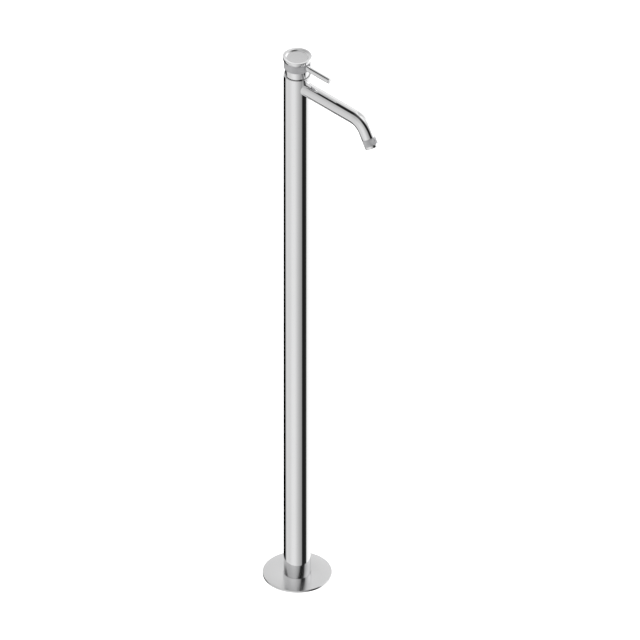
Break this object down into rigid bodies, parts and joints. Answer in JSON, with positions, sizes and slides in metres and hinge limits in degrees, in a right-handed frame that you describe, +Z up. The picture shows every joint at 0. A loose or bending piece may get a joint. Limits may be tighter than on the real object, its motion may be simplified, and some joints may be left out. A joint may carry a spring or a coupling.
{
  "type": "floor-standing basin mixer",
  "caption": "Floor-standing single-lever basin mixer: slim round column on a flat round foot, bent round spout and a side pin lever on a textured head.",
  "frame": {"origin": "centre of the foot and of its circle of floor screws, on the floor", "axes": "+Z up along the column, +X the way the spout and the lever point, +Y to the right of someone who stands at the outlet and faces the column"},
  "size_m": [0.2555, 0.121, 1.1051],
  "materials": {
    "polished_steel": "satin to polished stainless steel",
    "textured_steel": "matte, finely ridged",
    "plain_steel": "plain turned steel",
    "brass": "turned",
    "plated_brass": "nickel plated",
    "white_plastic": "moulded",
    "blue_plastic": "moulded",
    "orange_plastic": "moulded",
    "ceramic": "lapped",
    "rubber": "matte",
    "hose": "braided over a rubber bore"
  },
  "bodies": {
    "column": {"base_cover_plate": "polished_steel", "column_tube": "polished_steel", "neck_sleeve": "polished_steel", "spout_tube": "polished_steel", "aerator_lip": "polished_steel", "aerator_ring": "textured_steel", "mounting_flange": "plain_steel", "flange_tube": "plain_steel", "foot_grub_screws": "plain_steel", "hose_ferrules": "plain_steel", "spout_nipple": "brass", "spout_end_sleeve": "brass", "cartridge_nut": "brass", "hose_nipples": "brass", "union_tails": "brass", "valve_body": "plated_brass", "cold_union_nut": "plated_brass", "hot_union_nut": "plated_brass", "cartridge_body": "white_plastic", "cartridge_base": "white_plastic", "aerator_insert": "white_plastic", "fixed_disc": "ceramic", "spout_o_rings": "rubber", "cartridge_seals": "rubber", "aerator_seal": "rubber", "union_washers": "rubber", "cold_hose": "hose", "hot_hose": "hose"},
    "turret": {"turret": "blue_plastic", "pivot_pin": "plain_steel"},
    "handle": {"stem": "brass", "handle_cap": "polished_steel", "handle_ring": "textured_steel", "lever_pin": "polished_steel", "handle_grub_screw": "plain_steel"},
    "disc_slide": {"disc_carrier": "orange_plastic", "moving_disc": "ceramic"}
  },
  "joints": [
    {"name": "temperature", "type": "hinge", "parent": "column", "child": "turret", "pos_m": [0, 0, 1.07689], "axis": [0, 0, 1], "range_deg": [-50, 50]},
    {"name": "flow", "type": "hinge", "parent": "turret", "child": "handle", "pos_m": [0, 0, 1.07689], "axis": [0, -1, 0], "range_deg": [0, 25]},
    {"name": "disc_travel", "type": "slide", "parent": "turret", "child": "disc_slide", "axis": [1, 0, 0], "range_m": [0, 0.0039]}
  ],
  "couplings": [
    {"joint": "disc_travel", "follows": "flow", "m_per_rad": 0.008717}
  ]
}
